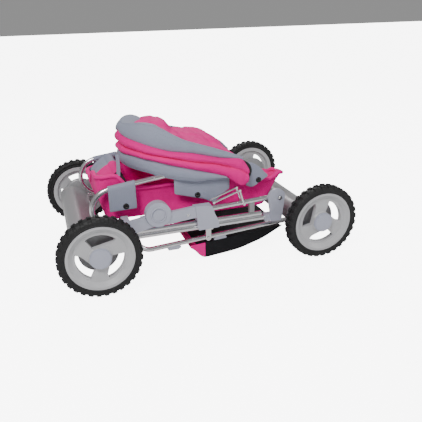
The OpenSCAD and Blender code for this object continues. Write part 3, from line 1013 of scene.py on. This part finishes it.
def ring(name, x, z, y_face, inner, outer, body, height=1.6):
    """A low raised ring on each outer side, y_face out from the middle."""
    for side, label in ((-1, "near"), (1, "far")):
        profile = [(inner, -0.5), (inner + 0.3, height * 0.8), (inner + 1.0, height), (outer - 1.0, height),
                   (outer - 0.3, height * 0.8), (outer, -0.5)]
        piece = lathe(f"{name}_{label}", (x, side * y_face, z), [(r, side * h) for r, h in profile], LILAC)
        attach(piece, body)


def build_rivets():
    hub_face = span("hub_arm_near")[0].y
    ring("hub_ring", HUB.x, HUB.z, -hub_face, 13.5, 16.5, "seat_bar")
    rivet("arm_rivet", -49.6, 124.5, 167.0, 3.2, "seat_bar")
    rivet("bracket_rivet", RIVET.x, RIVET.z, -span("seat_rivets")[0].y, 3.6, "front_leg")
    rivet("rail_rivet", -108.0, rail_z(-108.0) + 1.5, RAIL_Y + TUBE_R - 0.3, 2.2, "chair_frame", height=1.0)


# ---- basket -----------------------------------------------------------------------

BASKET_LINE = [(-42, 40), (-12, 5.5), (72, 13), (128, 29), (179, 56)]


def build_basket():
    rows = []
    stations = [-41, -36, -30, -24, -18, -12, -8, 0, 12, 26, 42, 58, 74, 90, 106, 122, 138, 154, 168, 177]
    for x in stations:
        top = mix(42, 58, (x + 42) / 220)
        low = along(BASKET_LINE, x)
        row = []
        for k in range(33):
            g = k / 32
            if g < 0.25:
                y, z = -BASKET_Y + 1.5, mix(top, low, g / 0.25)
            elif g > 0.75:
                y, z = BASKET_Y - 1.5, mix(low, top, (g - 0.75) / 0.25)
            else:
                y, z = mix(-BASKET_Y + 1.5, BASKET_Y - 1.5, (g - 0.25) / 0.5), low
            sink = 1.2 * ripple(x, y, z, 40, 5.0) + (3.4 * ripple(x, y, z, 11, 6.0) if -38 < x < -12 else 0.0)
            inside = 1 - abs(2 * g - 1)
            row.append((x, y * (1 - 0.02 * inside), max(z + sink * min(1, inside * 3), 1.6)))
        rows.append(row)
    faces_material = []
    for x in stations[:-1]:
        faces_material += [1 if x < -9 else 0] * 32
    piece = grid("basket_mesh_cloth", rows, MESH, materials=[MESH, PINK], face_material=faces_material)
    thicken(piece, 1.2, 0.0)
    subdivide(piece)
    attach(piece, "rear_leg")
    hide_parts("basket")


# ---- stage, light and camera ---------------------------------------------------------


CAMERA_PLACE = (-0.3076, -1.0969, 0.5203)
CAMERA_YAW = 18.27
CAMERA_PITCH = 21.9
CAMERA_ROLL = -1.35
CAMERA_LENS = 43.25


def build_camera():
    data = bpy.data.cameras.new("photo_camera")
    data.sensor_width = 36.0
    data.lens = CAMERA_LENS
    data.clip_end = 50.0
    camera = bpy.data.objects.new("photo_camera", data)
    bpy.context.scene.collection.objects.link(camera)
    turn, tilt, roll = math.radians(CAMERA_YAW), math.radians(CAMERA_PITCH), math.radians(CAMERA_ROLL)
    ahead = Vector((math.sin(turn) * math.cos(tilt), math.cos(turn) * math.cos(tilt), -math.sin(tilt)))
    right = Vector((math.cos(turn), -math.sin(turn), 0.0))
    up = right.cross(ahead)
    rolled_right = right * math.cos(roll) + up * math.sin(roll)
    rolled_up = up * math.cos(roll) - right * math.sin(roll)
    turned = Matrix((rolled_right, rolled_up, -ahead)).transposed().to_4x4()
    camera.matrix_world = Matrix.Translation(CAMERA_PLACE) @ turned
    bpy.context.scene.camera = camera


def soft_light(name, place, size, power):
    data = bpy.data.lights.new(name, "AREA")
    data.shape = "DISK"
    data.size = size
    data.energy = power
    light = bpy.data.objects.new(name, data)
    bpy.context.scene.collection.objects.link(light)
    light.location = place
    light.rotation_euler = (Vector((0, 0, 0.12)) - Vector(place)).to_track_quat("-Z", "Y").to_euler()


def build_stage():
    material, tree, shader = new_material("pale_floor")
    grain = noise_texture(tree, coordinates(tree), 6, 2)
    pale = blend_colours(tree, grain, (0.9, 0.9, 0.9), (0.94, 0.94, 0.94))
    tree.links.new(pale, shader.inputs["Base Color"])
    shader.inputs["Roughness"].default_value = 0.6
    shader.inputs["Emission Color"].default_value = (1, 1, 1, 1)
    seen = add_node(tree, "ShaderNodeLightPath")
    tree.links.new(remap(tree, seen.outputs["Is Camera Ray"], 0.0, 7.0), shader.inputs["Emission Strength"])
    reach = 12000.0
    corners = [(-reach, -reach, 0), (reach, -reach, 0), (reach, reach, 0), (-reach, reach, 0)]
    floor = make_piece("floor", corners, [(0, 1, 2, 3)], material)
    world = bpy.data.worlds.new("studio")
    world.use_nodes = True
    world.node_tree.nodes["Background"].inputs["Color"].default_value = (1, 1, 1, 1)
    world.node_tree.nodes["Background"].inputs["Strength"].default_value = 0.3
    bpy.context.scene.world = world
    soft_light("key_light", (-0.9, -1.2, 1.7), 0.7, 30)
    soft_light("fill_light", (1.6, -1.2, 1.0), 1.0, 8)
    soft_light("back_light", (0.4, 1.6, 1.6), 0.9, 17)


# ---- build ------------------------------------------------------------------------------

build_camera()
build_stage()
dress_cad_nodes()
for end in ("front", "rear"):
    for label in ("near", "far"):
        build_tyre(f"{end}_{label}_tyre", f"{end}_{label}_wheel")
build_beam("front_beam", "front_leg", [(-29, 16.5, 22), (-31, 3.5, 20), (0, 0, 16)])
build_beam("rear_beam", "rear_leg", [(-27, 5.5, 20), (-31, -10.5, 14), (0, 0, 16)])
build_hood()
build_crown()
build_carrycot()
build_tabs()
build_strap()
build_bar_drape()
build_rivets()
build_basket()
